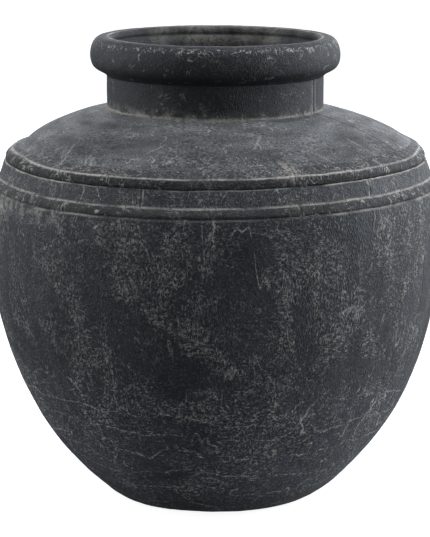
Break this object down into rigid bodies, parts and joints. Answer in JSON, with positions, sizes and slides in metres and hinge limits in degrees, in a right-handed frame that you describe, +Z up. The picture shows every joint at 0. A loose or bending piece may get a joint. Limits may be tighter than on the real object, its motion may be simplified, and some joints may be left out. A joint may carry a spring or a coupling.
{
  "type": "clay pot",
  "caption": "Round black clay pot on a small flat base, with a banded shoulder, a short straight neck and a thick rolled rim; open for storing or displaying things.",
  "frame": {"origin": "centre of the flat base, on the floor", "axes": "+Z up along the pot's axis; -Y is the front, the side that carries the middle of the front slabs"},
  "size_m": [0.35, 0.35, 0.354],
  "materials": {
    "body_clay": "smoke-blackened low-fired clay, matt, with burnished patches and fine pale drag marks",
    "shoulder_clay": "smoke-blackened low-fired clay, matt, with a thin grey ash film on the upward slope",
    "neck_clay": "smoke-blackened low-fired clay, matt, rubbed paler along its edges",
    "rib_clay": "smoke-blackened low-fired clay, matt, worn to pale grey-beige along the crest",
    "strap_clay": "smoke-blackened low-fired clay, matt, with pale slip left along its edges"
  },
  "bodies": {
    "root": {"base_disc": "body_clay", "lower_bowl": "body_clay", "belly_front": "body_clay", "belly_back": "body_clay", "shoulder_front": "shoulder_clay", "shoulder_back": "shoulder_clay", "neck_front": "neck_clay", "neck_back": "neck_clay", "rim_roll": "neck_clay", "upper_rib_1": "rib_clay", "upper_rib_2": "rib_clay", "upper_rib_3": "rib_clay", "upper_rib_4": "rib_clay", "lower_rib_1": "rib_clay", "lower_rib_2": "rib_clay", "lower_rib_3": "rib_clay", "lower_rib_4": "rib_clay", "lower_rib_5": "rib_clay", "strap_1": "strap_clay", "strap_2": "strap_clay", "strap_3": "strap_clay", "strap_4": "strap_clay", "strap_5": "strap_clay"}
  },
  "joints": []
}
